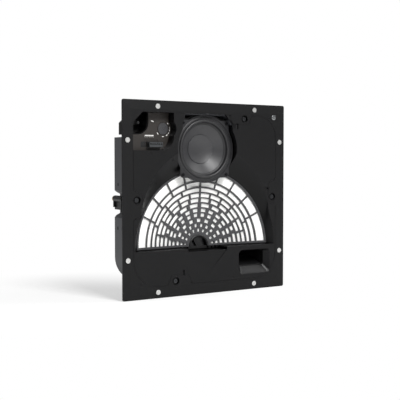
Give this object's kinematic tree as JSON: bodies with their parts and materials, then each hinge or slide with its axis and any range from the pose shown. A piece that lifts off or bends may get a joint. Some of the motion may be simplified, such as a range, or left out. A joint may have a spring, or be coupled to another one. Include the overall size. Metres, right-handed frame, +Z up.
{
  "type": "ceiling speaker",
  "caption": "Square flush-mount ceiling speaker with an offset woofer, a fan-shaped perforated phase guide in a crescent recess, a reflex port, an input recess and swing-out clamps.",
  "frame": {"origin": "centre of the flange's back face, the plane that seats on the ceiling", "axes": "+Y from the front into the ceiling space, +X to the right and +Z up when the front is looked at upright"},
  "size_m": [0.413, 0.114, 0.413],
  "materials": {
    "frame_plastic": "satin near-black moulding",
    "magnet_nickel": "bright nickel plating",
    "can_paint": "dark grey satin powder coat",
    "gasket_foam": "closed-cell foam",
    "zinc_steel": "zinc plated",
    "damping_felt": "grey polyester felt",
    "basket_metal": "dark grey stamped frame",
    "surround_rubber": "satin butyl rubber",
    "cone_polymer": "satin grey polymer",
    "coil_copper": "enamelled copper wire",
    "spider_cloth": "impregnated cloth",
    "motor_steel": "zinc plated steel",
    "ferrite": "pressed ferrite",
    "black_screw": "black oxide",
    "terminal_tin": "tinned brass on board",
    "grid_plastic": "satin grey moulding",
    "mesh_cloth": "pale acoustic cloth",
    "horn_plastic": "black moulding",
    "throat_plastic": "satin black moulding",
    "diaphragm_metal": "thin formed foil",
    "cover_plastic": "black moulding",
    "panel_plastic": "warm dark grey moulding",
    "knob_plastic": "grey moulding",
    "switch_plastic": "dark blue-grey housing",
    "socket_plastic": "black moulding",
    "plug_plastic": "dark grey plug",
    "tape_yellow": "winding tape",
    "board_green": "coated circuit board",
    "capacitor_blue": "sleeved film capacitors",
    "nut_brass": "turned brass",
    "arm_polymer": "glass-filled black moulding"
  },
  "bodies": {
    "body": {"front_frame": "frame_plastic", "grille_magnets": "magnet_nickel", "rear_can": "can_paint", "can_gasket": "gasket_foam", "can_screws": "zinc_steel", "damping_pad": "damping_felt", "safety_lug": "zinc_steel", "woofer_basket": "basket_metal", "woofer_gasket": "gasket_foam", "woofer_surround": "surround_rubber", "woofer_spider": "spider_cloth", "woofer_top_plate": "motor_steel", "woofer_magnet": "ferrite", "woofer_yoke": "motor_steel", "woofer_screws": "black_screw", "woofer_terminals": "terminal_tin", "guide_grid": "grid_plastic", "guide_mesh": "mesh_cloth", "guide_horn": "horn_plastic", "guide_screws": "zinc_steel", "throat_cap": "throat_plastic", "driver_front_plate": "motor_steel", "driver_diaphragm": "diaphragm_metal", "driver_magnet": "ferrite", "driver_yoke": "motor_steel", "driver_cover": "cover_plastic", "port_duct": "horn_plastic", "input_panel": "panel_plastic", "selector_switch": "switch_plastic", "terminal_socket": "socket_plastic", "terminal_plug": "plug_plastic", "cable_saddle": "socket_plastic", "saddle_screws": "zinc_steel", "transformer_core": "motor_steel", "transformer_coil": "tape_yellow", "crossover_board": "board_green", "crossover_capacitors": "capacitor_blue", "crossover_inductor": "coil_copper"},
    "woofer_moving_parts": {"woofer_cone": "cone_polymer", "woofer_dust_cap": "cone_polymer", "woofer_voice_coil": "coil_copper"},
    "selector": {"selector_knob": "knob_plastic"},
    "clamp_left_screw": {"clamp_screw_left": "zinc_steel"},
    "clamp_left_nut": {"clamp_nut_left": "nut_brass"},
    "clamp_left_arm": {"clamp_arm_left": "arm_polymer"},
    "clamp_right_screw": {"clamp_screw_right": "zinc_steel"},
    "clamp_right_nut": {"clamp_nut_right": "nut_brass"},
    "clamp_right_arm": {"clamp_arm_right": "arm_polymer"},
    "clamp_top_screw": {"clamp_screw_top": "zinc_steel"},
    "clamp_top_nut": {"clamp_nut_top": "nut_brass"},
    "clamp_top_arm": {"clamp_arm_top": "arm_polymer"},
    "clamp_bottom_screw": {"clamp_screw_bottom": "zinc_steel"},
    "clamp_bottom_nut": {"clamp_nut_bottom": "nut_brass"},
    "clamp_bottom_arm": {"clamp_arm_bottom": "arm_polymer"}
  },
  "joints": [
    {"name": "cone_travel", "type": "slide", "parent": "body", "child": "woofer_moving_parts", "axis": [0, -1, 0], "range_m": [-0.0025, 0.0025], "stiffness_N_per_m": 1800, "deforming": ["woofer_surround", "woofer_spider"]},
    {"name": "selector_turn", "type": "hinge", "parent": "body", "child": "selector", "pos_m": [-0.0998, 0.018, 0.1486], "axis": [0, -1, 0], "range_deg": [-188, 0]},
    {"name": "clamp_left_screw_turn", "type": "hinge", "parent": "body", "child": "clamp_left_screw", "pos_m": [-0.1735, 0, 0], "axis": [0, -1, 0], "continuous": true},
    {"name": "clamp_left_nut_travel", "type": "slide", "parent": "body", "child": "clamp_left_nut", "axis": [0, -1, 0], "range_m": [0, 0.05]},
    {"name": "clamp_left_arm_swing", "type": "hinge", "parent": "clamp_left_nut", "child": "clamp_left_arm", "pos_m": [-0.1735, 0.057, 0], "axis": [0, 1, 0], "range_deg": [0, 90]},
    {"name": "clamp_right_screw_turn", "type": "hinge", "parent": "body", "child": "clamp_right_screw", "pos_m": [0.1735, 0, 0], "axis": [0, -1, 0], "continuous": true},
    {"name": "clamp_right_nut_travel", "type": "slide", "parent": "body", "child": "clamp_right_nut", "axis": [0, -1, 0], "range_m": [0, 0.05]},
    {"name": "clamp_right_arm_swing", "type": "hinge", "parent": "clamp_right_nut", "child": "clamp_right_arm", "pos_m": [0.1735, 0.057, 0], "axis": [0, 1, 0], "range_deg": [0, 90]},
    {"name": "clamp_top_screw_turn", "type": "hinge", "parent": "body", "child": "clamp_top_screw", "pos_m": [0.096, 0, 0.1735], "axis": [0, -1, 0], "continuous": true},
    {"name": "clamp_top_nut_travel", "type": "slide", "parent": "body", "child": "clamp_top_nut", "axis": [0, -1, 0], "range_m": [0, 0.05]},
    {"name": "clamp_top_arm_swing", "type": "hinge", "parent": "clamp_top_nut", "child": "clamp_top_arm", "pos_m": [0.096, 0.057, 0.1735], "axis": [0, 1, 0], "range_deg": [0, 90]},
    {"name": "clamp_bottom_screw_turn", "type": "hinge", "parent": "body", "child": "clamp_bottom_screw", "pos_m": [-0.081, 0, -0.1735], "axis": [0, -1, 0], "continuous": true},
    {"name": "clamp_bottom_nut_travel", "type": "slide", "parent": "body", "child": "clamp_bottom_nut", "axis": [0, -1, 0], "range_m": [0, 0.05]},
    {"name": "clamp_bottom_arm_swing", "type": "hinge", "parent": "clamp_bottom_nut", "child": "clamp_bottom_arm", "pos_m": [-0.081, 0.057, -0.1735], "axis": [0, 1, 0], "range_deg": [0, 90]}
  ]
}
